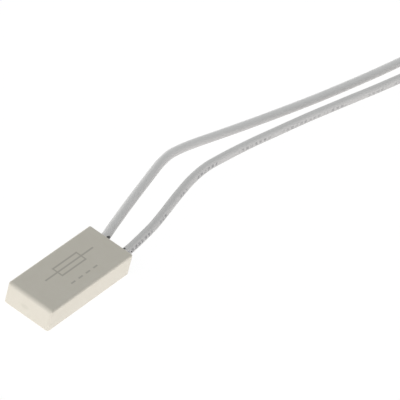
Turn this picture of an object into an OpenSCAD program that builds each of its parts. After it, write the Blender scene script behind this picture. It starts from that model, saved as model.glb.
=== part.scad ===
// Thermal fuse: a fusible alloy link in a moulded case, potted at its mouth, with two insulated leads.
// The origin is the centre of the case's underside, with +X towards the leads and +Z up.

/* [Case] */
// Length of the case from its closed end to its mouth
case_l = 22.1; // [18:0.1:30]
// Width of the case
case_w = 9.7; // [8.8:0.1:14]
// Height of the case
case_h = 4.6; // [4.1:0.1:7]
// Thickness of the top and bottom walls
broad_wall = 0.7; // [0.5:0.05:0.85]
// Thickness of the two side walls
side_wall = 0.8; // [0.5:0.05:1]
// Thickness of the wall at the closed end
end_wall = 0.9; // [0.6:0.05:1.5]
// Radius of the upright corners at the closed end
corner_r = 0.5; // [0.45:0.05:1]
// Radius of the long edges and of the edges round the closed end
edge_r = 0.4; // [0.25:0.05:0.48]
// Radius of the outer edges of the mouth
rim_r = 0.12; // [0.1:0.02:0.24]

/* [Gate scar] */
// Length of the scar across the closed end
gate_l = 1.6; // [1:0.1:2.4]
// Height of the scar
gate_h = 0.35; // [0.2:0.05:0.6]
// Depth of the scar
gate_depth = 0.05; // [0.03:0.01:0.2]
// Distance of the scar's middle from the case's middle plane
gate_y = 0.6; // [0:0.1:1.5]
// Height of the scar's middle above the underside
gate_z = 2; // [1.5:0.1:3]

/* [End seal] */
// Depth of resin in the mouth
seal_depth = 6; // [4:0.1:8]
// How far the face of the resin lies back from the mouth
seal_recess = 0.6; // [0.55:0.05:1.2]
// How far the resin climbs each lead
collar_h = 0.4; // [0.2:0.05:0.5]
// How far each collar of resin spreads round its lead
collar_spread = 0.4; // [0.2:0.05:0.5]
// Thickness of resin left at the top of each collar
collar_lip = 0.08; // [0.04:0.02:0.16]

/* [Leads] */
// Distance between the two leads where they leave the case
lead_pitch = 4.6; // [4:0.1:4.8]
// Outside diameter of the insulation
lead_d = 1.7; // [1.3:0.05:1.9]
// Diameter of the stranded conductor
conductor_d = 0.95; // [0.7:0.05:1.1]
// Length of each lead from the mouth to the end of its bare tip
lead_l = 100; // [100:1:200]
// Length of the bare tinned tip
tip_l = 6; // [3:0.5:7]
// Length of insulation held in the resin
jacket_depth = 3; // [2:0.1:4]
// Length of bare conductor behind the insulation
bare_l = 3.2; // [2.6:0.1:4.5]

/* [Splices] */
// Outside diameter of each ferrule
ferrule_d = 2; // [1.7:0.05:2.2]
// Length of each ferrule
ferrule_l = 4.4; // [3.6:0.1:5]
// Width of the band pressed round each half of a ferrule
crimp_l = 1.2; // [0.8:0.1:1.6]
// Depth of that band
crimp_depth = 0.15; // [0.05:0.01:0.25]
// Room between the two wires that meet in a ferrule
splice_gap = 0.2; // [0.1:0.05:0.5]
// Clearance between a wire and what grips it
fit_gap = 0.02; // [0.01:0.01:0.04]

/* [Fuse element] */
// Diameter of the terminal wires
terminal_d = 0.8; // [0.6:0.05:0.9]
// Width of the flattened pad on each terminal
pad_w = 1.4; // [1:0.1:1.8]
// Thickness of each pad
pad_t = 0.4; // [0.3:0.05:0.5]
// How far the round wire runs on into its pad
pad_root = 0.4; // [0.2:0.05:0.8]
// Room between the terminals and the closed end
element_gap = 2; // [1:0.1:3]
// Width of the alloy link
link_w = 1.2; // [0.8:0.05:1.3]
// Thickness of the alloy link
link_t = 0.7; // [0.5:0.05:0.8]
// How far the link reaches past the middle of each terminal
link_over = 0.5; // [0.2:0.05:0.7]
// Bare pad on each side of the link
link_margin = 0.3; // [0.1:0.05:0.6]
// Diameter of the flux round the link
coat_d = 1.7; // [1.6:0.02:1.76]
// Room between the flux and each pad
coat_gap = 0.1; // [0.05:0.05:0.3]

/* [Hidden] */
$fn = 64;

// Places along the case, from the mouth inwards
mouth_x = case_l / 2;
seal_face_x = mouth_x - seal_recess;
seal_back_x = seal_face_x - seal_depth;
jacket_end_x = seal_face_x - jacket_depth;
conductor_end_x = jacket_end_x - bare_l;
splice_x = conductor_end_x - splice_gap / 2;
terminal_start_x = conductor_end_x - splice_gap;
cavity_end_x = end_wall - case_l / 2;
pad_end_x = cavity_end_x + element_gap;
pad_l = pad_root + link_w + 2 * link_margin;
link_x = pad_end_x + link_margin + link_w / 2;

// Heights: the leads and terminals share the middle plane, and the link lies on the pads
lead_z = case_h / 2;
lying_z = lead_d / 2;
link_z = lead_z + pad_t / 2 + link_t / 2;

cavity_w = case_w - 2 * side_wall;
cavity_h = case_h - 2 * broad_wall;
coat_l = lead_pitch - pad_w - 2 * coat_gap;
sides = 8;
core_r = conductor_d / 2 - fit_gap;
core_bore_d = conductor_d + 2 * fit_gap;
terminal_bore_d = terminal_d + 2 * fit_gap;
ferrule_bore_d = ferrule_d + 2 * fit_gap;
jacket_l = lead_l - tip_l + mouth_x - jacket_end_x;
// A cut runs this far past the face it opens
past = 1;

// Each lead's route past the mouth: how far on, how far aside, and the share of its exit height that is left.
// The insulation runs on straight from the last point until the lead has its length.
route_a = [
    [0, 0, 1], [1, 0, 1], [3, 0.4, 0.96], [5, 1, 0.89], [8, 1.85, 0.74], [12, 3, 0.5],
    [16, 4.1, 0.26], [20, 5.15, 0.08], [24, 6.15, 0], [27, 6.8, 0], [30, 7.1, 0], [33, 6.75, 0],
    [36, 6.1, 0], [40, 5.05, 0], [45, 3.75, 0], [50, 2.5, 0], [55, 1.3, 0], [60, 0.15, 0],
    [65, -0.95, 0], [70, -1.95, 0], [75, -2.9, 0], [80, -3.8, 0], [85, -4.6, 0], [90, -5.4, 0]
];
route_b = [
    [0, 0, 1], [1, 0, 1], [3, 0.1, 0.96], [5, 0.35, 0.89], [8, 0.8, 0.74], [12, 1.5, 0.5],
    [16, 2.45, 0.26], [20, 3.45, 0.08], [24, 4.35, 0], [27, 4.9, 0], [30, 5.25, 0], [33, 5.35, 0],
    [36, 5.1, 0], [40, 4.65, 0], [45, 3.95, 0], [50, 3.1, 0], [55, 2.25, 0], [60, 1.35, 0],
    [65, 0.35, 0], [70, -0.65, 0], [75, -1.7, 0], [80, -2.65, 0], [85, -3.6, 0], [90, -4.55, 0]
];

// The side of the middle plane that each lead is on
side_a = 1;
side_b = -1;

function unit(v) = v / norm(v);
function run(path, i = 0) = i == len(path) - 1 ? 0 : norm(path[i + 1] - path[i]) + run(path, i + 1);
function end_heading(path) = unit(path[len(path) - 1] - path[len(path) - 2]);
function seated(side, route) = concat(
    [[jacket_end_x, side * lead_pitch / 2, lead_z]],
    [for (p = route) [mouth_x + p.x, side * lead_pitch / 2 + p.y, lying_z + p.z * (lead_z - lying_z)]]
);
function lead_path(path) = concat(
    path, [path[len(path) - 1] + end_heading(path) * (jacket_l - run(path))]
);
path_a = lead_path(seated(side_a, route_a));
path_b = lead_path(seated(side_b, route_b));

// Rings of points round a path, level with the ground, and the faces that join them
function heading(path, i) = unit(path[min(i + 1, len(path) - 1)] - path[max(i - 1, 0)]);
function ring(centre, along, r) =
    let (across = unit(cross([0, 0, 1], along)), up = cross(along, across))
    [for (k = [0 : sides - 1]) centre + r * (cos(360 * k / sides) * across + sin(360 * k / sides) * up)];
function rings(path, r) = [for (i = [0 : len(path) - 1]) each ring(path[i], heading(path, i), r)];
function next(k) = (k + 1) % sides;
function outer_wall(count) = [
    for (i = [0 : count - 2], k = [0 : sides - 1])
    let (a = i * sides + k, b = i * sides + next(k))
    each [[a, a + sides, b + sides], [a, b + sides, b]]
];
function inner_wall(count, first) = [for (f = outer_wall(count)) [first + f[0], first + f[2], first + f[1]]];
function annulus(outer, inner) = [
    for (k = [0 : sides - 1]) [outer + k, outer + next(k), inner + next(k), inner + k]
];
function turned(faces) = [for (f = faces) [for (i = [len(f) - 1 : -1 : 0]) f[i]]];

module swept_rod(path, r) {
    last = (len(path) - 1) * sides;
    start_face = [for (k = [0 : sides - 1]) k];
    end_face = [for (k = [sides - 1 : -1 : 0]) last + k];
    polyhedron(rings(path, r), concat(outer_wall(len(path)), [start_face, end_face]));
}

module swept_tube(path, r_out, r_in) {
    first = len(path) * sides;
    last = first - sides;
    polyhedron(
        concat(rings(path, r_out), rings(path, r_in)),
        concat(
            outer_wall(len(path)), inner_wall(len(path), first),
            annulus(0, first), turned(annulus(last, first + last))
        )
    );
}

// A cylinder or cone along +X from x, on the axis that a lead shares with its splice and terminal
module rod_x(side, x, l, d, d_end) {
    translate([x, side * lead_pitch / 2, lead_z]) rotate([0, 90, 0]) cylinder(h = l, d1 = d, d2 = d_end);
}

// The insulation's own outline along +X, with its corners where the swept rings have theirs
module jacket_bore(side, x, l) {
    translate([x, side * lead_pitch / 2, lead_z]) rotate([0, 90, 0]) cylinder(h = l, d = lead_d, $fn = sides);
}

// A rectangle on the origin with one radius on its two corners at -X and another at +X
module rounded_rect(size, r_back, r_front) {
    translate([r_back - size.x / 2, -size.y / 2]) square([size.x - r_back - r_front, size.y]);
    translate([-size.x / 2, r_back - size.y / 2]) square([size.x / 2, size.y - 2 * r_back]);
    translate([0, r_front - size.y / 2]) square([size.x / 2, size.y - 2 * r_front]);
    for (s = [-1, 1]) {
        translate([r_back - size.x / 2, s * (size.y / 2 - r_back)]) circle(r_back);
        translate([size.x / 2 - r_front, s * (size.y / 2 - r_front)]) circle(r_front);
    }
}

module case_outside() {
    intersection() {
        linear_extrude(case_h) rounded_rect([case_l, case_w], corner_r, 2 * rim_r);
        translate([0, case_w / 2, case_h / 2]) rotate([90, 0, 0])
            linear_extrude(case_w) rounded_rect([case_l, case_h], edge_r, rim_r);
        translate([-case_l / 2, 0, case_h / 2]) rotate([90, 0, 90])
            linear_extrude(case_l) rounded_rect([case_w, case_h], edge_r, edge_r);
    }
}

module case() {
    color("#e4decd") difference() {
        case_outside();
        translate([cavity_end_x, -cavity_w / 2, broad_wall])
            cube([mouth_x - cavity_end_x + past, cavity_w, cavity_h]);
        translate([-case_l / 2 - past, gate_y - gate_l / 2, gate_z - gate_h / 2])
            cube([past + gate_depth, gate_l, gate_h]);
    }
}

module end_seal() {
    color("#35322f") difference() {
        union() {
            translate([seal_back_x, -cavity_w / 2, broad_wall]) cube([seal_depth, cavity_w, cavity_h]);
            for (side = [side_a, side_b])
                rod_x(side, seal_face_x, collar_h, lead_d + 2 * collar_spread, lead_d + 2 * collar_lip);
        }
        for (side = [side_a, side_b]) {
            jacket_bore(side, jacket_end_x, jacket_depth + collar_h + past);
            rod_x(side, conductor_end_x, bare_l + past, core_bore_d, core_bore_d);
            rod_x(side, splice_x - ferrule_l / 2, ferrule_l, ferrule_bore_d, ferrule_bore_d);
        }
    }
}

module jacket(path) {
    color("#d6d6d5") swept_tube(path, lead_d / 2, conductor_d / 2);
}

module conductor(side, path) {
    along = end_heading(path);
    color("#c8c7c2") union() {
        rod_x(side, conductor_end_x, bare_l, conductor_d, conductor_d);
        swept_rod(path, core_r);
        translate(path[len(path) - 1]) rotate([0, 90, atan2(along.y, along.x)])
            cylinder(h = tip_l, d = conductor_d);
    }
}

module ferrule(side) {
    grip_l = ferrule_l / 2;
    color("#b8b4a8") difference() {
        rod_x(side, splice_x - grip_l, ferrule_l, ferrule_d, ferrule_d);
        rod_x(side, splice_x, grip_l + past, core_bore_d, core_bore_d);
        rod_x(side, splice_x - grip_l - past, grip_l + 2 * past, terminal_bore_d, terminal_bore_d);
        for (half = [-1, 1]) crimp_band(side, splice_x + half * grip_l / 2 - crimp_l / 2);
    }
}

// The ring that a crimp takes off the outside of a ferrule
module crimp_band(side, x) {
    crimped_d = ferrule_d - 2 * crimp_depth;
    difference() {
        rod_x(side, x, crimp_l, ferrule_d + past, ferrule_d + past);
        rod_x(side, x - past, crimp_l + 2 * past, crimped_d, crimped_d);
    }
}

module terminal(side) {
    wire_end_x = pad_end_x + pad_l - pad_root;
    color("#cfccc4") union() {
        rod_x(side, wire_end_x, terminal_start_x - wire_end_x, terminal_d, terminal_d);
        translate([pad_end_x, side * lead_pitch / 2 - pad_w / 2, lead_z - pad_t / 2])
            cube([pad_l, pad_w, pad_t]);
    }
}

module link_bar() {
    link_l = lead_pitch + 2 * link_over;
    translate([link_x - link_w / 2, -link_l / 2, link_z - link_t / 2]) cube([link_w, link_l, link_t]);
}

module fusible_link() {
    color("#9fa3a6") link_bar();
}

module flux_coat() {
    color("#b8863b") difference() {
        translate([link_x, coat_l / 2, link_z]) rotate([90, 0, 0]) cylinder(h = coat_l, d = coat_d);
        link_bar();
    }
}

case();
end_seal();
jacket(path_a);  // jacket_a
jacket(path_b);  // jacket_b
conductor(side_a, path_a);  // conductor_a
conductor(side_b, path_b);  // conductor_b
ferrule(side_a);  // ferrule_a
ferrule(side_b);  // ferrule_b
terminal(side_a);  // terminal_a
terminal(side_b);  // terminal_b
fusible_link();
flux_coat();
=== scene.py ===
import math
from bisect import bisect

import bmesh
import bpy
from mathutils import Matrix, Quaternion, Vector
from mathutils.geometry import interpolate_bezier


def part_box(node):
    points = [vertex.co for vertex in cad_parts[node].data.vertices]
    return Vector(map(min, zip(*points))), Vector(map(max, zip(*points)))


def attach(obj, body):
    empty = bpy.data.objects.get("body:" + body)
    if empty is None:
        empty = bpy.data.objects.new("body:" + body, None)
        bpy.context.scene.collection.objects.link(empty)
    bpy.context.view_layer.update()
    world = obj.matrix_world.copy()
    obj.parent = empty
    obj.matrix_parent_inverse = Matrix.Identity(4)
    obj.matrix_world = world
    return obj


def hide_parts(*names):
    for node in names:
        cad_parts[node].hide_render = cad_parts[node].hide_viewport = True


# A thermal fuse, in metres. The origin is the centre of the case's underside, +X runs to the leads, +Z up.
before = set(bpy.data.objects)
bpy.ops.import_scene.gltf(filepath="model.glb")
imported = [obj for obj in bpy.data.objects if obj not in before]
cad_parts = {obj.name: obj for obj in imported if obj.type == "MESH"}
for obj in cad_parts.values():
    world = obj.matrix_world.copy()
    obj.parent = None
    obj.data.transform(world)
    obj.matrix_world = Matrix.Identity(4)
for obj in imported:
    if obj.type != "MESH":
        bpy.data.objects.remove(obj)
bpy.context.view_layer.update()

# Terminals
# Two tinned copper wires with flattened pads at their inner ends, which carry the link inside the case.
# The wire is drawn and then dipped in tin, so it is bright, with faint lines along its length.
mm = 0.001
# A Mix node tells its colour sockets apart by number: the share, the two colours and the result.
mix_share, colour_a, colour_b, mixed = 0, 6, 7, 2


def linear(hex_colour):
    """An sRGB hex colour as the linear RGBA that a shader reads."""
    shares = [int(hex_colour[i:i + 2], 16) / 255 for i in (1, 3, 5)]
    return [s / 12.92 if s <= 0.04045 else ((s + 0.055) / 1.055) ** 2.4 for s in shares] + [1]


def add(tree, kind, inputs, **settings):
    """Add a node with its settings, and set or link each of its inputs."""
    made = tree.nodes.new(kind)
    for name, value in settings.items():
        setattr(made, name, value)
    for socket, value in inputs.items():
        if isinstance(value, bpy.types.NodeSocket):
            tree.links.new(value, made.inputs[socket])
        else:
            made.inputs[socket].default_value = value
    return made


def new_material(name):
    """A material with an empty node tree."""
    made = bpy.data.materials.new(name)
    made.use_nodes = True
    made.node_tree.nodes.clear()
    return made


def dress(material, *nodes):
    """Give CAD nodes that stay in view a finished material."""
    for node in nodes:
        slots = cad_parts[node].data.materials
        slots.clear()
        slots.append(material)


# Drawn wire under a thin dip of tin: a soft white metal, a little duller along the lines of the die.
drawn_tin = new_material("tinned_copper_drawn")
tree = drawn_tin.node_tree
place = add(tree, "ShaderNodeTexCoord", {})
die_line, die_run = 0.06 * mm, 3 * mm
stretched = add(tree, "ShaderNodeMapping", {
    "Vector": place.outputs["Object"], "Scale": (1 / die_run, 1 / die_line, 1 / die_line)})
lines = add(tree, "ShaderNodeTexNoise", {"Vector": stretched.outputs["Vector"], "Scale": 1.0, "Detail": 2.0})
tone = add(tree, "ShaderNodeMix", {
    mix_share: lines.outputs["Fac"], colour_a: linear("#D3D1CB"), colour_b: linear("#B4AFA5")},
    data_type="RGBA")
dulled = add(tree, "ShaderNodeMapRange", {"Value": lines.outputs["Fac"], "To Min": 0.22, "To Max": 0.38})
shader = add(tree, "ShaderNodeBsdfPrincipled", {
    "Base Color": tone.outputs[mixed], "Metallic": 1.0, "Roughness": dulled.outputs["Result"]})
add(tree, "ShaderNodeOutputMaterial", {"Surface": shader.outputs["BSDF"]})
dress(drawn_tin, "terminal_a", "terminal_b")

# Fusible link and its flux
# A cast bar of low-melting alloy, soldered across the two pads, in a drop of rosin flux.
# When the alloy melts, the flux draws it back to the pads and the circuit stays open.

# Cast tin and bismuth alloy: dull grey, with the patchy sheen of its crystals.
cast_alloy = new_material("fusible_alloy_cast")
tree = cast_alloy.node_tree
place = add(tree, "ShaderNodeTexCoord", {})
crystal = 0.25 * mm
crystals = add(tree, "ShaderNodeTexVoronoi", {"Vector": place.outputs["Object"], "Scale": 1 / crystal})
tone = add(tree, "ShaderNodeMix", {
    mix_share: crystals.outputs["Color"], colour_a: linear("#8F9295"), colour_b: linear("#ABADAF")},
    data_type="RGBA")
dulled = add(tree, "ShaderNodeMapRange", {
    "Value": crystals.outputs["Color"], "To Min": 0.35, "To Max": 0.55})
shader = add(tree, "ShaderNodeBsdfPrincipled", {
    "Base Color": tone.outputs[mixed], "Metallic": 1.0, "Roughness": dulled.outputs["Result"]})
add(tree, "ShaderNodeOutputMaterial", {"Surface": shader.outputs["BSDF"]})
dress(cast_alloy, "fusible_link")

# Rosin set from a melt: amber, clouded inside, and glossy where it has run smooth.
rosin = new_material("rosin_flux_set")
tree = rosin.node_tree
place = add(tree, "ShaderNodeTexCoord", {})
cloud = 0.6 * mm
clouds = add(tree, "ShaderNodeTexNoise", {
    "Vector": place.outputs["Object"], "Scale": 1 / cloud, "Detail": 3.0})
tone = add(tree, "ShaderNodeMix", {
    mix_share: clouds.outputs["Fac"], colour_a: linear("#C68A33"), colour_b: linear("#8E5B1E")},
    data_type="RGBA")
shader = add(tree, "ShaderNodeBsdfPrincipled", {
    "Base Color": tone.outputs[mixed], "Roughness": 0.18, "IOR": 1.54, "Transmission Weight": 0.3})
add(tree, "ShaderNodeOutputMaterial", {"Surface": shader.outputs["BSDF"]})
dress(rosin, "flux_coat")

# Splice ferrules
# Short sleeves of tinned brass, each pressed in two bands, which join a lead's core to a terminal wire.
# The press scuffs them: where the tin is thin the brass shows through, a little yellower and duller.
pressed_brass = new_material("tinned_brass_pressed")
tree = pressed_brass.node_tree
place = add(tree, "ShaderNodeTexCoord", {})
scuff = 0.3 * mm
scuffs = add(tree, "ShaderNodeTexNoise", {
    "Vector": place.outputs["Object"], "Scale": 1 / scuff, "Detail": 4.0})
tone = add(tree, "ShaderNodeMix", {
    mix_share: scuffs.outputs["Fac"], colour_a: linear("#CFC8B4"), colour_b: linear("#B3A57F")},
    data_type="RGBA")
dulled = add(tree, "ShaderNodeMapRange", {"Value": scuffs.outputs["Fac"], "To Min": 0.25, "To Max": 0.5})
shader = add(tree, "ShaderNodeBsdfPrincipled", {
    "Base Color": tone.outputs[mixed], "Metallic": 1.0, "Roughness": dulled.outputs["Result"]})
add(tree, "ShaderNodeOutputMaterial", {"Surface": shader.outputs["BSDF"]})
dress(pressed_brass, "ferrule_a", "ferrule_b")

# Conductors
# The core of each lead: nineteen strands of tinned copper, twisted together.
# The last few millimetres are stripped and dipped in solder, which fills the grooves between the strands.
mouth_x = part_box("case")[1].x
exit_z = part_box("case")[1].z / 2
exit_y = {"a": 2.3 * mm, "b": -2.3 * mm}
core_start_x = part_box("conductor_a")[0].x
lead_radius = 0.85 * mm
core_radius = 0.475 * mm
lead_length = 100 * mm
tip_length = 6 * mm
# Each point of a route: millimetres past the mouth, millimetres aside, and the share of the exit's height.
routes = {
    "a": [
        (0, 0, 1), (1, 0, 1), (3, 0.4, 0.96), (5, 1, 0.89), (8, 1.85, 0.74), (12, 3, 0.5),
        (16, 4.1, 0.26), (20, 5.15, 0.08), (24, 6.15, 0), (27, 6.8, 0), (30, 7.1, 0), (33, 6.75, 0),
        (36, 6.1, 0), (40, 5.05, 0), (45, 3.75, 0), (50, 2.5, 0), (55, 1.3, 0), (60, 0.15, 0),
        (65, -0.95, 0), (70, -1.95, 0), (75, -2.9, 0), (80, -3.8, 0), (85, -4.6, 0), (90, -5.4, 0),
    ],
    "b": [
        (0, 0, 1), (1, 0, 1), (3, 0.1, 0.96), (5, 0.35, 0.89), (8, 0.8, 0.74), (12, 1.5, 0.5),
        (16, 2.45, 0.26), (20, 3.45, 0.08), (24, 4.35, 0), (27, 4.9, 0), (30, 5.25, 0), (33, 5.35, 0),
        (36, 5.1, 0), (40, 4.65, 0), (45, 3.95, 0), (50, 3.1, 0), (55, 2.25, 0), (60, 1.35, 0),
        (65, 0.35, 0), (70, -0.65, 0), (75, -1.7, 0), (80, -2.65, 0), (85, -3.6, 0), (90, -4.55, 0),
    ],
}


def lead_line(lead):
    """A lead's smooth centreline, splice to tip, as (distance past the mouth, place, heading)."""
    knots = [Vector((core_start_x, exit_y[lead], exit_z))]
    for ahead, aside, share in routes[lead]:
        knots.append(Vector((
            mouth_x + ahead * mm, exit_y[lead] + aside * mm, lead_radius + share * (exit_z - lead_radius))))
    laid = sum((end - start).length for start, end in zip(knots[1:], knots[2:]))
    last, tail = knots[-1], (knots[-1] - knots[-2]).normalized()
    knots += [last + tail * (lead_length - tip_length - laid), last + tail * (lead_length - laid)]
    headings = [
        (after - before).normalized()
        for before, after in zip(knots[:1] + knots, knots[1:] + knots[-1:])]
    steps = 8
    places = []
    for i, (start, end) in enumerate(zip(knots, knots[1:])):
        reach = (end - start).length / 3
        places += interpolate_bezier(
            start, start + headings[i] * reach, end - headings[i + 1] * reach, end, steps + 1)[:-1]
    places.append(knots[-1])
    distances = [0]
    for start, end in zip(places, places[1:]):
        distances.append(distances[-1] + (end - start).length)
    to_mouth = distances[steps]
    return [
        (distance - to_mouth, here, (after - before).normalized())
        for distance, here, before, after in zip(
            distances, places, places[:1] + places, places[1:] + places[-1:])]


def lay(mesh, line):
    """Bend straight work, made along +X from the mouth, to follow a lead, and keep its straight places."""
    straight = mesh.verts.layers.float_vector.new("straight")
    distances = [distance for distance, _, _ in line]
    for vert in mesh.verts:
        vert[straight] = vert.co
        i = min(max(bisect(distances, vert.co.x) - 1, 0), len(line) - 2)
        share = (vert.co.x - distances[i]) / (distances[i + 1] - distances[i])
        centre = line[i][1].lerp(line[i + 1][1], share)
        heading = line[i][2].lerp(line[i + 1][2], share).normalized()
        left = Vector((0, 0, 1)).cross(heading).normalized()
        vert.co = centre + left * vert.co.y + heading.cross(left) * vert.co.z


def round_bar(mesh, start, end, radius, sides, rings):
    """A straight closed bar along +X, cut into rings so that it can bend and be shaped."""
    upright = Matrix.Translation(((start + end) / 2, 0, 0)) @ Matrix.Rotation(math.radians(90), 4, "Y")
    bmesh.ops.create_cone(
        mesh, cap_ends=True, segments=sides, radius1=radius, radius2=radius, depth=end - start,
        matrix=upright)
    lengthwise = [e for e in mesh.edges if abs(e.verts[0].co.x - e.verts[1].co.x) > (end - start) / 2]
    bmesh.ops.subdivide_edges(mesh, edges=lengthwise, cuts=rings, use_grid_fill=True)


def end_cap(mesh):
    """The flat face that closes a straight bar at its far end."""
    return max(
        mesh.faces, key=lambda face: (round(face.calc_center_median().x, ndigits=7), face.calc_area()))


def round_edges(mesh, edges, radius, segments):
    """Round edges off, as a mould or a blade leaves them."""
    bmesh.ops.bevel(
        mesh, geom=edges, offset=radius, segments=segments, profile=0.5, affect="EDGES", material=-1)


def join(mesh, other):
    """Take a second mesh into the first."""
    data = bpy.data.meshes.new("joined")
    other.to_mesh(data)
    other.free()
    mesh.from_mesh(data)
    bpy.data.meshes.remove(data)


def new_object(name, mesh):
    """Close a mesh as an object of the scene."""
    data = bpy.data.meshes.new(name)
    mesh.to_mesh(data)
    mesh.free()
    made = bpy.data.objects.new(name, data)
    bpy.context.scene.collection.objects.link(made)
    return made


def new_piece(name, mesh, material):
    """Close a mesh as a smooth piece that rides on the part's one body."""
    for face in mesh.faces:
        face.smooth = True
    made = new_object(name, mesh)
    made.data.materials.append(material)
    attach(made, "root")
    return made


# Strands under solder: white metal, bright and dull by turns, where the solder has set in small ripples.
soldered = new_material("tinned_copper_soldered_strands")
tree = soldered.node_tree
place = add(tree, "ShaderNodeAttribute", {}, attribute_name="straight")
ripple = 0.35 * mm
ripples = add(tree, "ShaderNodeTexNoise", {
    "Vector": place.outputs["Vector"], "Scale": 1 / ripple, "Detail": 3.0})
tone = add(tree, "ShaderNodeMix", {
    mix_share: ripples.outputs["Fac"], colour_a: linear("#DAD8D3"), colour_b: linear("#B9B5AC")},
    data_type="RGBA")
dulled = add(tree, "ShaderNodeMapRange", {"Value": ripples.outputs["Fac"], "To Min": 0.18, "To Max": 0.42})
solder_ripple = add(tree, "ShaderNodeBump", {
    "Strength": 0.4, "Distance": 0.02 * mm, "Height": ripples.outputs["Fac"]})
shader = add(tree, "ShaderNodeBsdfPrincipled", {
    "Base Color": tone.outputs[mixed], "Metallic": 1.0, "Roughness": dulled.outputs["Result"],
    "Normal": solder_ripple.outputs["Normal"]})
add(tree, "ShaderNodeOutputMaterial", {"Surface": shader.outputs["BSDF"]})

outer_strands, strands_across = 12, 5
strand_radius = core_radius / strands_across
strand_circle = core_radius - strand_radius
strand_gap = math.pi / outer_strands
groove_radius = 0.44 * mm
twist_length = 11 * mm
hidden_strands = 2 * mm
dome = 0.14 * mm
lines_of = {lead: lead_line(lead) for lead in "ab"}
for lead, line in lines_of.items():
    core_start, tip_end = line[0][0], line[-1][0]
    insulation_end = tip_end - tip_length
    core = bmesh.new()
    round_bar(
        core, insulation_end - hidden_strands, tip_end, core_radius, sides=6 * outer_strands, rings=60)
    round_edges(core, end_cap(core).edges[:], dome, segments=4)
    for vert in core.verts:
        turn = math.atan2(vert.co.z, vert.co.y)
        off_strand = (turn + strand_gap) % (2 * strand_gap) - strand_gap
        room = strand_radius ** 2 - (strand_circle * math.sin(off_strand)) ** 2
        crown = strand_circle * math.cos(off_strand) + math.sqrt(max(room, 0))
        drawn_in = max(crown, groove_radius) / core_radius
        twist = Matrix.Rotation(2 * math.pi * vert.co.x / twist_length, 3, "X")
        vert.co = twist @ Vector((vert.co.x, vert.co.y * drawn_in, vert.co.z * drawn_in))
    inner = bmesh.new()
    round_bar(inner, core_start, insulation_end - hidden_strands / 2, groove_radius, sides=16, rings=90)
    join(core, inner)
    lay(core, line)
    new_piece(f"lead_{lead}_core", core, soldered)
    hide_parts(f"conductor_{lead}")

# Insulation of the leads
# A sleeve of white cross-linked polyethylene, extruded over each core and cut back with a blade at the tip.
# It runs a few millimetres into the resin, which holds it, and its own stiffness gives the lead its bends.


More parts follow.
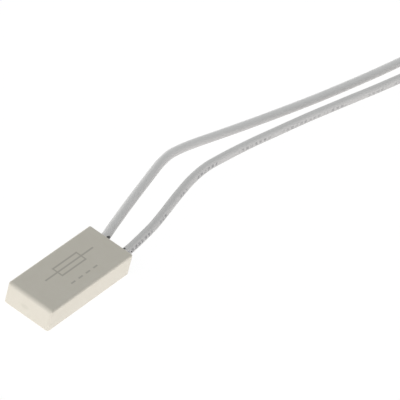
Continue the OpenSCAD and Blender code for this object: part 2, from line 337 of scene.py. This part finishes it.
def insulation_material(name, bright, dull, grey, printed):
    """Extruded polyethylene: satin, with faint lines along its length, painted shade greying its underside,
    and, on one lead, plain ink ticks.
    """
    made = new_material(name)
    tree = made.node_tree
    place = add(tree, "ShaderNodeAttribute", {}, attribute_name="straight")
    patch = 3 * mm
    patches = add(tree, "ShaderNodeTexNoise", {
        "Vector": place.outputs["Vector"], "Scale": 1 / patch, "Detail": 4.0})
    white = add(tree, "ShaderNodeMix", {
        mix_share: patches.outputs["Fac"], colour_a: linear(bright), colour_b: linear(dull)},
        data_type="RGBA")
    # Painted shade: the half below the axis is greyed, most of all near the case, and the grey fades out
    # towards the top, to hold down the flank that the light from below makes too bright.
    # Each level changes along the lead: what it is near the case, and what it is further out.
    parts = add(tree, "ShaderNodeSeparateXYZ", {"Vector": place.outputs["Vector"]})
    change_start, change_end = 20 * mm, 36 * mm
    levels = {
        "painted shade below": (1.0, 0.95), "painted shade on top": (0.24, 0.0),
        "painted shade full height": (0.4 * lead_radius, 0.05 * lead_radius)}
    along = {}
    for level, (near_case, further_out) in levels.items():
        along[level] = add(tree, "ShaderNodeMapRange", {
            "Value": parts.outputs["X"], "From Min": change_start, "From Max": change_end,
            "To Min": near_case, "To Max": further_out}).outputs["Result"]
    # How much painted shade each point gets: full low on the lead, fading out towards the top.
    shade_share = add(tree, "ShaderNodeMapRange", {
        "Value": parts.outputs["Z"], "From Min": 0.9 * lead_radius, "From Max": along["painted shade full height"],
        "To Min": along["painted shade on top"], "To Max": along["painted shade below"]})
    # The painted shade's grey is mixed into the white here.
    shade_painted = add(tree, "ShaderNodeMix", {
        mix_share: shade_share.outputs["Result"], colour_a: white.outputs[mixed], colour_b: linear(grey)},
        data_type="RGBA")
    colour = shade_painted.outputs[mixed]
    # The die's lines are a few hundredths of a millimetre apart: they are drawn coarser, so that they show.
    line_width, line_run = 0.16 * mm, 9 * mm
    drawn_out = add(tree, "ShaderNodeMapping", {
        "Vector": place.outputs["Vector"], "Scale": (1 / line_run, 1 / line_width, 1 / line_width)})
    die_lines = add(tree, "ShaderNodeTexNoise", {
        "Vector": drawn_out.outputs["Vector"], "Scale": 1.0, "Detail": 2.0})
    if printed:
        # Grey ink, worn to groups of ticks in a row on the near flank, which turns a little with the lead.
        tick_pitch, tick_wear = 1.15 * mm, 0.45 * mm
        group_size, group_start = 6.5 * mm, 244 * mm
        row_middle, row_half, row_slant = 0.4 * mm, 0.26 * mm, 0.0035
        row_place = add(tree, "ShaderNodeMath", {
            0: parts.outputs["X"], 1: row_slant, 2: parts.outputs["Z"]}, operation="MULTIPLY_ADD")
        row_band = add(tree, "ShaderNodeMath", {
            0: row_place.outputs[0], 1: row_middle, 2: row_half}, operation="COMPARE")
        near_side = add(tree, "ShaderNodeMath", {0: parts.outputs["Y"], 1: 0.0}, operation="LESS_THAN")
        in_row = add(tree, "ShaderNodeMath", {
            0: row_band.outputs[0], 1: near_side.outputs[0]}, operation="MULTIPLY")
        along_tick = add(tree, "ShaderNodeMath", {
            0: parts.outputs["X"], 1: tick_pitch / 2}, operation="PINGPONG")
        tick = add(tree, "ShaderNodeMapRange", {
            "Value": along_tick.outputs[0], "From Min": 0.14 * tick_pitch, "From Max": 0.24 * tick_pitch,
            "To Max": in_row.outputs[0]})
        worn = add(tree, "ShaderNodeTexNoise", {"Vector": place.outputs["Vector"], "Scale": 1 / tick_wear})
        unworn = add(tree, "ShaderNodeMapRange", {
            "Value": worn.outputs["Fac"], "From Min": 0.35, "From Max": 0.55,
            "To Max": tick.outputs["Result"]})
        group_place = add(tree, "ShaderNodeMath", {0: parts.outputs["X"], 1: group_start}, operation="ADD")
        groups = add(tree, "ShaderNodeTexNoise", {
            "W": group_place.outputs[0], "Scale": 1 / group_size, "Detail": 0.0}, noise_dimensions="1D")
        kept = add(tree, "ShaderNodeMapRange", {
            "Value": groups.outputs["Fac"], "From Min": 0.42, "From Max": 0.52,
            "To Max": unworn.outputs["Result"]})
        wear = add(tree, "ShaderNodeMapRange", {
            "Value": parts.outputs["X"], "From Max": lead_length, "To Min": 0.85, "To Max": 0.3})
        ink = add(tree, "ShaderNodeMath", {
            0: kept.outputs["Result"], 1: wear.outputs["Result"]}, operation="MULTIPLY")
        inked = add(tree, "ShaderNodeMix", {
            mix_share: ink.outputs[0], colour_a: colour, colour_b: linear("#86868A")}, data_type="RGBA")
        colour = inked.outputs[mixed]
    satin = add(tree, "ShaderNodeMapRange", {
        "Value": die_lines.outputs["Fac"], "To Min": 0.5, "To Max": 0.66})
    ridges = add(tree, "ShaderNodeBump", {
        "Strength": 0.12, "Distance": 0.015 * mm, "Height": die_lines.outputs["Fac"]})
    shader = add(tree, "ShaderNodeBsdfPrincipled", {
        "Base Color": colour, "Roughness": satin.outputs["Result"], "IOR": 1.51,
        "Normal": ridges.outputs["Normal"]})
    add(tree, "ShaderNodeOutputMaterial", {"Surface": shader.outputs["BSDF"]})
    return made


# Lead A's whites are painted lighter than lead B's, to make up for the shade that lead B casts on it; each
# third colour is the grey of the painted shade on its underside.
insulation_finish = {
    "a": insulation_material("polyethylene_extruded_satin", "#F9F8F7", "#F1F0EF", "#D0CFCE", printed=False),
    "b": insulation_material("polyethylene_extruded_inked", "#EDECEB", "#E5E4E3", "#C3C2C1", printed=True),
}
insulation_start_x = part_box("jacket_a")[0].x
ring_spacing = 0.45 * mm
wall = lead_radius - core_radius
cut_edge = 0.05 * mm
bore_depth = 1.2 * mm
for lead, line in lines_of.items():
    start, end = insulation_start_x - mouth_x, line[-1][0] - tip_length
    sleeve = bmesh.new()
    round_bar(sleeve, start, end, lead_radius, sides=40, rings=round((end - start) / ring_spacing))
    round_edges(sleeve, end_cap(sleeve).edges[:], cut_edge, segments=2)
    cut_face = end_cap(sleeve)
    bmesh.ops.inset_region(sleeve, faces=[cut_face], thickness=wall - cut_edge)
    bore = bmesh.ops.extrude_face_region(sleeve, geom=[cut_face])["geom"]
    bmesh.ops.delete(sleeve, geom=[cut_face], context="FACES_ONLY")
    bmesh.ops.translate(
        sleeve, vec=(-bore_depth, 0, 0), verts=[v for v in bore if isinstance(v, bmesh.types.BMVert)])
    lay(sleeve, line)
    insulation = new_piece(f"lead_{lead}_insulation", sleeve, insulation_finish[lead])
    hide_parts(f"jacket_{lead}")

# Case
# One box of filled polyester, moulded round a core that is drawn out through the mouth.
# Its outer edges are rounded, and the gate was broken off its closed end, where it left a shallow scar.
case_low, case_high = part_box("case")
broad_wall, side_wall, end_wall = 0.7 * mm, 0.8 * mm, 0.9 * mm
corner_radius, edge_radius, foot_radius, rim_radius = 0.5 * mm, 0.4 * mm, 0.3 * mm, 0.12 * mm
mouth_radius, end_radius = 0.24 * mm, 0.75 * mm
cavity_corner, cavity_edge, lip_radius = 0.4 * mm, 0.3 * mm, 0.08 * mm
gate_size = Vector((0, 1.6, 0.35)) * mm
gate_middle = Vector((case_low.x, 0.6 * mm, 2 * mm))
gate_depth = 0.05 * mm
gate_slope = 3 * gate_depth
# Points closer than this count as one, when faces are picked out and when they are cut.
touch, snap = 1e-6, 1e-7


def moulded_box(mesh, low, high, corner, edge, foot):
    """A box with round upright corners at -X, and round edges above and below but not across its +X end."""
    block = bmesh.ops.create_cube(mesh, size=1)["verts"]
    bmesh.ops.scale(mesh, vec=high - low, verts=block)
    bmesh.ops.translate(mesh, vec=(low + high) / 2, verts=block)
    upright = [e for e in mesh.edges if all(abs(v.co.x - low.x) < touch for v in e.verts)
               and abs(e.verts[0].co.z - e.verts[1].co.z) > touch]
    round_edges(mesh, upright, corner, segments=8)
    for z, radius in ((low.z, foot), (high.z, edge)):
        level = [e for e in mesh.edges if all(abs(v.co.z - z) < touch for v in e.verts)
                 and any(abs(v.co.x - high.x) > touch for v in e.verts)]
        round_edges(mesh, level, radius, segments=6)


def flat_face(mesh, x):
    """The largest flat face that lies across the case at a place along it."""
    across = [f for f in mesh.faces if all(abs(v.co.x - x) < touch for v in f.verts)]
    return max(across, key=lambda face: face.calc_area())


def rounded_limit(limit, radius, depth):
    """How far out a wall may stand at a depth from an end that meets it in a round edge."""
    into = radius - min(max(depth, 0), radius)
    return limit - radius + math.sqrt(radius ** 2 - into ** 2)


shell = bmesh.new()
moulded_box(shell, case_low, case_high, corner_radius, edge_radius, foot_radius)
round_edges(shell, flat_face(shell, case_high.x).edges[:], rim_radius, segments=4)
# The side walls turn in a little at the mouth, and the top turns down further at the closed end.
cuts = [case_high.x - share * mouth_radius for share in (0.55, 0.7, 0.85, 1)]
cuts += [case_low.x + share * end_radius for share in (0.48, 0.62, 0.8, 1)]
for cut_x in cuts:
    bmesh.ops.bisect_plane(
        shell, geom=shell.verts[:] + shell.edges[:] + shell.faces[:], dist=snap,
        plane_co=(cut_x, 0, 0), plane_no=(1, 0, 0))
for vert in shell.verts:
    half_width = rounded_limit(case_high.y, mouth_radius, case_high.x - vert.co.x)
    vert.co.y = min(max(vert.co.y, -half_width), half_width)
    vert.co.z = min(vert.co.z, rounded_limit(case_high.z, end_radius, vert.co.x - case_low.x))
scar = flat_face(shell, case_low.x)
bmesh.ops.inset_region(shell, faces=[scar], thickness=edge_radius)
scar_box = [max(v.co[i] for v in scar.verts) - min(v.co[i] for v in scar.verts) for i in (1, 2)]
bmesh.ops.scale(
    shell, vec=(1, gate_size.y / scar_box[0], gate_size.z / scar_box[1]), verts=scar.verts,
    space=Matrix.Translation(-scar.calc_center_median()))
bmesh.ops.translate(shell, vec=gate_middle - scar.calc_center_median(), verts=scar.verts)
bmesh.ops.inset_region(shell, faces=[scar], thickness=gate_slope, depth=-gate_depth)

cavity = bmesh.new()
walls = Vector((0, side_wall, broad_wall))
moulded_box(
    cavity, case_low + walls + Vector((end_wall, 0, 0)), case_high - walls, cavity_corner, cavity_edge,
    cavity_edge)
bmesh.ops.reverse_faces(cavity, faces=cavity.faces)
for mesh in (shell, cavity):
    bmesh.ops.delete(mesh, geom=[flat_face(mesh, case_high.x)], context="FACES_ONLY")
join(shell, cavity)
bmesh.ops.bridge_loops(shell, edges=[e for e in shell.edges if e.is_boundary])
# The lip is the edge of the cavity in the rim: a box a shade larger than the cavity picks it out.
shade_larger = 0.99
lip_low, lip_high = case_low + walls * shade_larger, case_high - walls * shade_larger
lip = [
    e for e in shell.edges
    if all(v.co.x > case_high.x - touch and lip_low.y < v.co.y < lip_high.y
           and lip_low.z < v.co.z < lip_high.z for v in e.verts)]
round_edges(shell, lip, lip_radius, segments=3)
bmesh.ops.recalc_face_normals(shell, faces=shell.faces)

# Filled polyester from a spark-eroded mould: cream, matt, faintly mottled, with a grey laser mark on top.
matt_polyester = new_material("polyester_moulded_matt")
tree = matt_polyester.node_tree
place = add(tree, "ShaderNodeTexCoord", {})
mottle = 2.2 * mm
mottling = add(tree, "ShaderNodeTexNoise", {
    "Vector": place.outputs["Object"], "Scale": 1 / mottle, "Detail": 4.0, "Roughness": 0.6})
cream = add(tree, "ShaderNodeMix", {
    mix_share: mottling.outputs["Fac"], colour_a: linear("#E6E1D5"), colour_b: linear("#DFD9CB")},
    data_type="RGBA")
# The mark is the plain sign for a fuse, a box on a line, over a row of bars.
# Its strokes are given in millimetres, each as its middle and its size.
stroke = 0.3
sign_x, sign_y, sign_l, sign_w, sign_line = 0.6, 0.9, 6.4, 2.1, 13.0
bars, bar_y, bar_l, bar_pitch = 4, -2.4, 1.1, 2.0
marks = [((sign_x, sign_y), (sign_line, stroke))]
for end in (-1, 1):
    marks.append(((sign_x + end * sign_l / 2, sign_y), (stroke, sign_w + stroke)))
    marks.append(((sign_x, sign_y + end * sign_w / 2), (sign_l + stroke, stroke)))
marks += [((sign_x + (i - (bars - 1) / 2) * bar_pitch, bar_y), (bar_l, stroke)) for i in range(bars)]
nearest = None
for middle, size in marks:
    offset = add(tree, "ShaderNodeVectorMath", {
        0: place.outputs["Object"], 1: (middle[0] * mm, middle[1] * mm, 0)}, operation="SUBTRACT")
    away = add(tree, "ShaderNodeVectorMath", {0: offset.outputs["Vector"]}, operation="ABSOLUTE")
    beyond = add(tree, "ShaderNodeVectorMath", {
        0: away.outputs["Vector"], 1: (size[0] / 2 * mm, size[1] / 2 * mm, 0)}, operation="SUBTRACT")
    parts = add(tree, "ShaderNodeSeparateXYZ", {"Vector": beyond.outputs["Vector"]})
    outside = add(tree, "ShaderNodeMath", {
        0: parts.outputs["X"], 1: parts.outputs["Y"]}, operation="MAXIMUM")
    if nearest:
        outside = add(tree, "ShaderNodeMath", {0: nearest, 1: outside.outputs[0]}, operation="MINIMUM")
    nearest = outside.outputs[0]
blur = 0.1 * mm
marked = add(tree, "ShaderNodeMapRange", {
    "Value": nearest, "From Min": blur, "From Max": -blur, "To Max": 0.85}, interpolation_type="SMOOTHSTEP")
height = add(tree, "ShaderNodeSeparateXYZ", {"Vector": place.outputs["Object"]})
on_top = add(tree, "ShaderNodeMath", {
    0: height.outputs["Z"], 1: case_high.z - edge_radius / 4}, operation="GREATER_THAN")
laser = add(tree, "ShaderNodeMath", {
    0: marked.outputs["Result"], 1: on_top.outputs[0]}, operation="MULTIPLY")
marked_cream = add(tree, "ShaderNodeMix", {
    mix_share: laser.outputs[0], colour_a: cream.outputs[mixed], colour_b: linear("#BAB5AA")},
    data_type="RGBA")
# The broken gate is a shade greyer than the skin round it.
gate_smudge = gate_size / 2 + Vector((1, 0.4, 0.5)) * mm
from_gate = add(tree, "ShaderNodeVectorMath", {
    0: place.outputs["Object"], 1: gate_middle}, operation="SUBTRACT")
in_smudges = add(tree, "ShaderNodeVectorMath", {
    0: from_gate.outputs["Vector"], 1: gate_smudge}, operation="DIVIDE")
gate_distance = add(tree, "ShaderNodeVectorMath", {0: in_smudges.outputs["Vector"]}, operation="LENGTH")
smudged = add(tree, "ShaderNodeMapRange", {
    "Value": gate_distance.outputs["Value"], "From Min": 1.0, "From Max": 0.3, "To Max": 0.3},
    interpolation_type="SMOOTHSTEP")
colour = add(tree, "ShaderNodeMix", {
    mix_share: smudged.outputs["Result"], colour_a: marked_cream.outputs[mixed],
    colour_b: linear("#C8C5B6")}, data_type="RGBA")
# The mould's grain is about 0.05 mm: it is drawn four times coarser, so that it shows.
grit = 0.2 * mm
grain = add(tree, "ShaderNodeTexNoise", {
    "Vector": place.outputs["Object"], "Scale": 1 / grit, "Detail": 3.0, "Roughness": 0.6})
matt = add(tree, "ShaderNodeMapRange", {"Value": grain.outputs["Fac"], "To Min": 0.5, "To Max": 0.68})
skin = add(tree, "ShaderNodeBump", {"Strength": 0.3, "Distance": 0.02 * mm, "Height": grain.outputs["Fac"]})
shader = add(tree, "ShaderNodeBsdfPrincipled", {
    "Base Color": colour.outputs[mixed], "Roughness": matt.outputs["Result"], "IOR": 1.55,
    "Normal": skin.outputs["Normal"]})
add(tree, "ShaderNodeOutputMaterial", {"Surface": shader.outputs["BSDF"]})

case = new_piece("case_shell", shell, matt_polyester)
case.modifiers.new("flat_walls", "WEIGHTED_NORMAL").weight = 100
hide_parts("case")

# End seal
# Dark epoxy poured into the mouth, which holds the leads and shuts out moisture.
# Before it set it climbed the walls and the leads, and a few drops of it were spilt on the leads by the rim.
seal_low, seal_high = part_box("end_seal")
collar_height, collar_spread = 0.4 * mm, 0.3 * mm
wall_climb, wall_spread = 0.25 * mm, 0.35 * mm
seal_face_x = seal_high.x - collar_height
grid_step = 0.1 * mm
creep_film, creep_start, creep_end, creep_wave = 0.035 * mm, -0.5 * mm, 0.5 * mm, 0.12 * mm
# The film keeps its thickness almost to its edge, where it dips under the skin of the insulation.
creep_dip, creep_fall = 1.1, 8
drop_height = 0.06 * mm
# Each drop: its angle from the near side over the top and its half width, both in degrees, then how far past
# the mouth it lies, its half length, and how far it slants over its half width.
drops = {
    "a": [(29, 31, 1.98 * mm, 0.45 * mm, -0.45 * mm)],
    "b": [(115, 22, 1.62 * mm, 0.3 * mm, 0.1 * mm), (21, 12, 2.47 * mm, 0.12 * mm, -0.04 * mm)],
}

seal = bmesh.new()
width, height = seal_high.y - seal_low.y, seal_high.z - seal_low.z
facing = Matrix.Rotation(math.radians(90), 4, "Z") @ Matrix.Rotation(math.radians(90), 4, "X")
bmesh.ops.create_grid(
    seal, x_segments=round(width / grid_step), y_segments=round(height / grid_step), size=0.5, matrix=facing)
bmesh.ops.scale(seal, vec=(1, width, height), verts=seal.verts)
face_middle = (seal_face_x, (seal_low.y + seal_high.y) / 2, (seal_low.z + seal_high.z) / 2)
bmesh.ops.translate(seal, vec=face_middle, verts=seal.verts)
for vert in seal.verts:
    to_wall = min(
        vert.co.y - seal_low.y, seal_high.y - vert.co.y, vert.co.z - seal_low.z, seal_high.z - vert.co.z)
    to_lead = min(math.hypot(vert.co.y - y, vert.co.z - exit_z) for y in exit_y.values()) - lead_radius
    vert.co.x += wall_climb * math.exp(-to_wall / wall_spread)
    vert.co.x += collar_height * math.exp(-max(to_lead, 0) / collar_spread)
sides = bmesh.ops.extrude_edge_only(seal, edges=[e for e in seal.edges if e.is_boundary])["geom"]
for vert in sides:
    if isinstance(vert, bmesh.types.BMVert):
        vert.co.x = seal_low.x
bmesh.ops.holes_fill(seal, edges=[e for e in seal.edges if e.is_boundary])
bmesh.ops.recalc_face_normals(seal, faces=seal.faces)
for lead, line in lines_of.items():
    film = bmesh.new()
    round_bar(film, start=0, end=1, radius=lead_radius, sides=72, rings=12)
    for vert in film.verts:
        turn = math.atan2(vert.co.z, -vert.co.y)
        reach = creep_end + creep_wave * (math.sin(2 * turn) + math.sin(3 * turn + 1)) / 2
        share = vert.co.x
        thick = lead_radius + creep_film * (1 - creep_dip * share ** creep_fall)
        vert.co.yz = vert.co.yz.normalized() * thick
        vert.co.x = creep_start + share * (reach - creep_start)
    for middle, half_turn, ahead, half_length, slant in drops[lead]:
        for vert in bmesh.ops.create_icosphere(film, subdivisions=4, radius=1)["verts"]:
            along, around, out = vert.co
            turn = math.radians(middle + around * half_turn)
            radius = lead_radius + out * drop_height
            vert.co = (
                ahead + along * half_length + around * slant,
                -radius * math.cos(turn), radius * math.sin(turn))
    lay(film, line)
    join(seal, film)

# Cast epoxy: nearly black, glossy, with slow waves from its pouring and a few pinholes from small bubbles.
cast_epoxy = new_material("epoxy_potting_cast")
tree = cast_epoxy.node_tree
place = add(tree, "ShaderNodeTexCoord", {})
wave = 1.5 * mm
waves = add(tree, "ShaderNodeTexNoise", {
    "Vector": place.outputs["Object"], "Scale": 1 / wave, "Detail": 2.0})
pinhole_pitch = 0.7 * mm
cells = add(tree, "ShaderNodeTexVoronoi", {"Vector": place.outputs["Object"], "Scale": 1 / pinhole_pitch})
pinholes = add(tree, "ShaderNodeMapRange", {
    "Value": cells.outputs["Distance"], "From Min": 0.05, "From Max": 0.14})
relief = add(tree, "ShaderNodeMath", {
    0: waves.outputs["Fac"], 1: pinholes.outputs["Result"]}, operation="MULTIPLY")
tone = add(tree, "ShaderNodeMix", {
    mix_share: waves.outputs["Fac"], colour_a: linear("#2B2826"), colour_b: linear("#1C1A19")},
    data_type="RGBA")
gloss = add(tree, "ShaderNodeMapRange", {"Value": waves.outputs["Fac"], "To Min": 0.14, "To Max": 0.34})
surface = add(tree, "ShaderNodeBump", {
    "Strength": 0.5, "Distance": 0.05 * mm, "Height": relief.outputs[0]})
shader = add(tree, "ShaderNodeBsdfPrincipled", {
    "Base Color": tone.outputs[mixed], "Roughness": gloss.outputs["Result"], "IOR": 1.55,
    "Normal": surface.outputs["Normal"]})
add(tree, "ShaderNodeOutputMaterial", {"Surface": shader.outputs["BSDF"]})
resin = new_piece("end_seal_resin", seal, cast_epoxy)
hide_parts("end_seal")

# Table
# A wide sheet of white acrylic under the fuse. Seen straight on or in a reflection it is plain white,
# but for the faint shadow of the fuse, and soft light passes up through it as through the side of a tent.
table_size = 4
sheet = bmesh.new()
bmesh.ops.create_grid(sheet, x_segments=1, y_segments=1, size=table_size / 2)
table = new_object("table", sheet)
table.visible_diffuse = False
table.visible_shadow = False


def seen_directly(tree):
    """1 for rays from the camera, a reflection or glass, and 0 for rays that gather light."""
    path = add(tree, "ShaderNodeLightPath", {})
    seen = add(tree, "ShaderNodeMath", {
        0: path.outputs["Is Camera Ray"], 1: path.outputs["Is Glossy Ray"]}, operation="MAXIMUM")
    return add(tree, "ShaderNodeMath", {
        0: seen.outputs[0], 1: path.outputs["Is Transmission Ray"]}, operation="MAXIMUM").outputs[0]


# Opal acrylic: matt white, with a glow that makes up the rest of white and leaves room for a shadow.
opal = new_material("acrylic_opal_matt")
tree = opal.node_tree
pale = add(tree, "ShaderNodeBsdfDiffuse", {"Color": linear("#E8E8E8")})
shaded = add(tree, "ShaderNodeBsdfDiffuse", {"Color": linear("#8C8C8C")})
glow = add(tree, "ShaderNodeEmission", {"Color": linear("#FFFFFF"), "Strength": 0.87})
bright = add(tree, "ShaderNodeAddShader", {0: shaded.outputs["BSDF"], 1: glow.outputs["Emission"]})
either = add(tree, "ShaderNodeMixShader", {
    0: seen_directly(tree), 1: pale.outputs["BSDF"], 2: bright.outputs["Shader"]})
add(tree, "ShaderNodeOutputMaterial", {"Surface": either.outputs["Shader"]})
table.data.materials.append(opal)

# Light
# A light tent: soft light from the whole sky, and stronger soft light from below, through the table.
# The light from below fades towards straight down, where the fuse stands in its own way.
sky_strength, sky_colour = 0.52, "#FDFFFF"
brighter_side, brighter_by = Vector((-0.2, 0.98, 0)), 0.3
sky_lean = brighter_side * brighter_by * sky_strength
below_strength, below_fade, below_colour = 2.25, 0.6, "#FFFDFC"
horizon_blur = 0.04
tent = bpy.data.worlds.new("light_tent")
tent.use_nodes = True
tree = tent.node_tree
tree.nodes.clear()
direction = add(tree, "ShaderNodeTexCoord", {})
parts = add(tree, "ShaderNodeSeparateXYZ", {"Vector": direction.outputs["Generated"]})
upward = add(tree, "ShaderNodeMapRange", {
    "Value": parts.outputs["Z"], "From Min": -horizon_blur, "From Max": horizon_blur})
leaning = add(tree, "ShaderNodeVectorMath", {
    0: direction.outputs["Generated"], 1: sky_lean}, operation="DOT_PRODUCT")
sky_level = add(tree, "ShaderNodeMath", {0: leaning.outputs["Value"], 1: sky_strength}, operation="ADD")
sky = add(tree, "ShaderNodeBackground", {"Color": linear(sky_colour), "Strength": sky_level.outputs[0]})
sideways = add(tree, "ShaderNodeMath", {0: parts.outputs["Z"], 1: 1.0}, operation="ADD", use_clamp=True)
faded = add(tree, "ShaderNodeMath", {0: sideways.outputs[0], 1: below_fade}, operation="POWER")
below_level = add(tree, "ShaderNodeMath", {0: faded.outputs[0], 1: below_strength}, operation="MULTIPLY")
below = add(tree, "ShaderNodeBackground", {
    "Color": linear(below_colour), "Strength": below_level.outputs[0]})
around = add(tree, "ShaderNodeMixShader", {
    0: upward.outputs["Result"], 1: below.outputs["Background"], 2: sky.outputs["Background"]})
white = add(tree, "ShaderNodeBackground", {"Color": linear("#FFFFFF"), "Strength": 1.0})
either = add(tree, "ShaderNodeMixShader", {
    0: seen_directly(tree), 1: around.outputs["Shader"], 2: white.outputs["Background"]})
add(tree, "ShaderNodeOutputWorld", {"Surface": either.outputs["Shader"]})
bpy.context.scene.world = tent

# Camera
# A long lens that looks down along the case towards the leads, rolled a little, as in the photograph.
look_at = Vector((36.53, -1.158, 0)) * mm
look_heading, look_down, look_roll = math.radians(27.33), math.radians(39.953), math.radians(15.68)
look_distance = 702.33 * mm
lens = bpy.data.cameras.new("camera")
lens.sensor_width = 36
lens.lens = 360
lens.clip_start = 0.01
camera = bpy.data.objects.new("camera", lens)
bpy.context.scene.collection.objects.link(camera)
view = Vector((
    math.cos(look_heading) * math.cos(look_down), math.sin(look_heading) * math.cos(look_down),
    -math.sin(look_down)))
camera.location = look_at - view * look_distance
camera.rotation_mode = "QUATERNION"
camera.rotation_quaternion = view.to_track_quat("-Z", "Y") @ Quaternion((0, 0, 1), look_roll)
bpy.context.scene.camera = camera
bpy.context.scene.view_settings.view_transform = "Standard"
